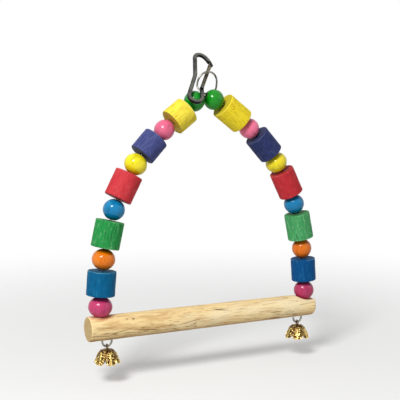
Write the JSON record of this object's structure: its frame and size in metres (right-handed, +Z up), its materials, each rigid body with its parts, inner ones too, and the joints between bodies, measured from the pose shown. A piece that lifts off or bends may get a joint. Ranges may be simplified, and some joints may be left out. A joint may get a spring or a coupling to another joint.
{
  "type": "bird swing",
  "caption": "Bird swing: wire arch strung with turning wooden beads and blocks over a wooden perch, with a clip hook on its top eye and a flower bell under each end.",
  "frame": {"origin": "at the centre height of the top eye, midway between the arch's feet, in the plane of the arch", "axes": "+X along the perch to the right end with the pared hollow, +Y to the back, +Z up"},
  "size_m": [0.1703, 0.0304, 0.1989],
  "materials": {
    "perch_wood": "bare, peeled and sanded",
    "arch_steel": "drawn wire",
    "hook_steel": "dark satin",
    "gate_steel": "dark satin, worn",
    "bell_brass": "bright with dark hollows",
    "hanger_wire": "drawn wire",
    "bead_magenta": "dyed and lacquered",
    "bead_orange": "dyed and lacquered",
    "bead_blue": "dyed and lacquered",
    "bead_yellow": "dyed and lacquered",
    "bead_pink": "dyed and lacquered",
    "bead_green": "dyed and lacquered",
    "block_blue": "dyed, matt, grain showing",
    "block_green": "dyed, matt, grain showing",
    "block_red": "dyed, matt, grain showing",
    "block_navy": "dyed, matt, grain showing",
    "block_yellow": "dyed, matt, grain showing"
  },
  "bodies": {
    "swing_frame": {"perch": "perch_wood", "arch_wire": "arch_steel"},
    "hook": {"hook_body": "hook_steel", "hook_gate_pin": "hook_steel"},
    "gate": {"hook_gate": "gate_steel"},
    "left_bell_set": {"left_bell": "bell_brass", "left_bell_hanger": "hanger_wire"},
    "right_bell_set": {"right_bell": "bell_brass", "right_bell_hanger": "hanger_wire"},
    "left_clapper_set": {"left_clapper": "bell_brass"},
    "right_clapper_set": {"right_clapper": "bell_brass"},
    "left_magenta_bead_turn": {"left_magenta_bead": "bead_magenta"},
    "left_blue_block_turn": {"left_blue_block": "block_blue"},
    "left_orange_bead_turn": {"left_orange_bead": "bead_orange"},
    "left_green_block_turn": {"left_green_block": "block_green"},
    "left_blue_bead_turn": {"left_blue_bead": "bead_blue"},
    "left_red_block_turn": {"left_red_block": "block_red"},
    "left_yellow_bead_turn": {"left_yellow_bead": "bead_yellow"},
    "left_navy_block_turn": {"left_navy_block": "block_navy"},
    "left_pink_bead_turn": {"left_pink_bead": "bead_pink"},
    "left_yellow_block_turn": {"left_yellow_block": "block_yellow"},
    "left_green_bead_turn": {"left_green_bead": "bead_green"},
    "right_magenta_bead_turn": {"right_magenta_bead": "bead_magenta"},
    "right_blue_block_turn": {"right_blue_block": "block_blue"},
    "right_orange_bead_turn": {"right_orange_bead": "bead_orange"},
    "right_green_block_turn": {"right_green_block": "block_green"},
    "right_blue_bead_turn": {"right_blue_bead": "bead_blue"},
    "right_red_block_turn": {"right_red_block": "block_red"},
    "right_yellow_bead_turn": {"right_yellow_bead": "bead_yellow"},
    "right_navy_block_turn": {"right_navy_block": "block_navy"},
    "right_pink_bead_turn": {"right_pink_bead": "bead_pink"},
    "right_yellow_block_turn": {"right_yellow_block": "block_yellow"},
    "right_green_bead_turn": {"right_green_bead": "bead_green"}
  },
  "joints": [
    {"name": "bell_left_swing", "type": "hinge", "parent": "swing_frame", "child": "left_bell_set", "pos_m": [-0.07216, 0, -0.16688], "axis": [1, 0, 0], "range_deg": [-45, 45]},
    {"name": "bell_right_swing", "type": "hinge", "parent": "swing_frame", "child": "right_bell_set", "pos_m": [0.07118, 0, -0.16665], "axis": [1, 0, 0], "range_deg": [-45, 45]},
    {"name": "clapper_left_swing", "type": "hinge", "parent": "left_bell_set", "child": "left_clapper_set", "pos_m": [-0.07216, 0, -0.17192], "axis": [1, 0, 0], "range_deg": [-50, 50]},
    {"name": "clapper_right_swing", "type": "hinge", "parent": "right_bell_set", "child": "right_clapper_set", "pos_m": [0.07118, 0, -0.17169], "axis": [1, 0, 0], "range_deg": [-50, 50]},
    {"name": "gate_open", "type": "hinge", "parent": "hook", "child": "gate", "pos_m": [-0.00656, -0.00394, -0.00279], "axis": [0, -0.7547, 0.6561], "range_deg": [0, 9], "stiffness_Nm_per_rad": 0.004, "springref_deg": -17.19},
    {"name": "hook_tilt", "type": "hinge", "parent": "swing_frame", "child": "hook", "pos_m": [-0.0062, 0.0013, 0.0032], "axis": [-1, 0, 0], "range_deg": [0, 45]},
    {"name": "turn_left_magenta_bead", "type": "hinge", "parent": "swing_frame", "child": "left_magenta_bead_turn", "pos_m": [-0.07639, 0, -0.1409], "axis": [0.0225, 0, 0.9997], "continuous": true},
    {"name": "turn_left_blue_block", "type": "hinge", "parent": "swing_frame", "child": "left_blue_block_turn", "pos_m": [-0.07558, 0, -0.12573], "axis": [0.0828, 0, 0.9966], "continuous": true},
    {"name": "turn_left_orange_bead", "type": "hinge", "parent": "swing_frame", "child": "left_orange_bead_turn", "pos_m": [-0.07388, 0, -0.11063], "axis": [0.1429, 0, 0.9897], "continuous": true},
    {"name": "turn_left_green_block", "type": "hinge", "parent": "swing_frame", "child": "left_green_block_turn", "pos_m": [-0.07099, 0, -0.09485], "axis": [0.2187, 0, 0.9758], "continuous": true},
    {"name": "turn_left_blue_bead", "type": "hinge", "parent": "swing_frame", "child": "left_blue_bead_turn", "pos_m": [-0.06657, 0, -0.07944], "axis": [0.3432, 0, 0.9393], "continuous": true},
    {"name": "turn_left_red_block", "type": "hinge", "parent": "swing_frame", "child": "left_red_block_turn", "pos_m": [-0.05998, 0, -0.06483], "axis": [0.4684, 0, 0.8835], "continuous": true},
    {"name": "turn_left_yellow_bead", "type": "hinge", "parent": "swing_frame", "child": "left_yellow_bead_turn", "pos_m": [-0.05159, 0, -0.05117], "axis": [0.5849, 0, 0.8111], "continuous": true},
    {"name": "turn_left_navy_block", "type": "hinge", "parent": "swing_frame", "child": "left_navy_block_turn", "pos_m": [-0.0422, 0, -0.0398], "axis": [0.6824, 0, 0.731], "continuous": true},
    {"name": "turn_left_pink_bead", "type": "hinge", "parent": "swing_frame", "child": "left_pink_bead_turn", "pos_m": [-0.03154, 0, -0.02961], "axis": [0.7591, 0, 0.6509], "continuous": true},
    {"name": "turn_left_yellow_block", "type": "hinge", "parent": "swing_frame", "child": "left_yellow_block_turn", "pos_m": [-0.02059, 0, -0.02077], "axis": [0.7944, 0, 0.6074], "continuous": true},
    {"name": "turn_left_green_bead", "type": "hinge", "parent": "swing_frame", "child": "left_green_bead_turn", "pos_m": [-0.01011, 0, -0.01114], "axis": [0.6109, 0, 0.7917], "continuous": true},
    {"name": "turn_right_magenta_bead", "type": "hinge", "parent": "swing_frame", "child": "right_magenta_bead_turn", "pos_m": [0.07645, 0, -0.1439], "axis": [-0.0128, 0, 0.9999], "continuous": true},
    {"name": "turn_right_blue_block", "type": "hinge", "parent": "swing_frame", "child": "right_blue_block_turn", "pos_m": [0.07581, 0, -0.12881], "axis": [-0.0705, 0, 0.9975], "continuous": true},
    {"name": "turn_right_orange_bead", "type": "hinge", "parent": "swing_frame", "child": "right_orange_bead_turn", "pos_m": [0.07431, 0, -0.11378], "axis": [-0.1304, 0, 0.9915], "continuous": true},
    {"name": "turn_right_green_block", "type": "hinge", "parent": "swing_frame", "child": "right_green_block_turn", "pos_m": [0.07159, 0, -0.0977], "axis": [-0.2013, 0, 0.9795], "continuous": true},
    {"name": "turn_right_blue_bead", "type": "hinge", "parent": "swing_frame", "child": "right_blue_bead_turn", "pos_m": [0.06745, 0, -0.08194], "axis": [-0.3218, 0, 0.9468], "continuous": true},
    {"name": "turn_right_red_block", "type": "hinge", "parent": "swing_frame", "child": "right_red_block_turn", "pos_m": [0.06099, 0, -0.06681], "axis": [-0.4515, 0, 0.8922], "continuous": true},
    {"name": "turn_right_yellow_bead", "type": "hinge", "parent": "swing_frame", "child": "right_yellow_bead_turn", "pos_m": [0.05262, 0, -0.05264], "axis": [-0.5724, 0, 0.82], "continuous": true},
    {"name": "turn_right_navy_block", "type": "hinge", "parent": "swing_frame", "child": "right_navy_block_turn", "pos_m": [0.04257, 0, -0.04026], "axis": [-0.6787, 0, 0.7345], "continuous": true},
    {"name": "turn_right_pink_bead", "type": "hinge", "parent": "swing_frame", "child": "right_pink_bead_turn", "pos_m": [0.03107, 0, -0.02921], "axis": [-0.7612, 0, 0.6485], "continuous": true},
    {"name": "turn_right_yellow_block", "type": "hinge", "parent": "swing_frame", "child": "right_yellow_block_turn", "pos_m": [0.01823, 0, -0.01902], "axis": [-0.8011, 0, 0.5985], "continuous": true},
    {"name": "turn_right_green_bead", "type": "hinge", "parent": "swing_frame", "child": "right_green_bead_turn", "pos_m": [0.00423, 0, -0.01005], "axis": [-0.901, 0, 0.4338], "continuous": true}
  ]
}
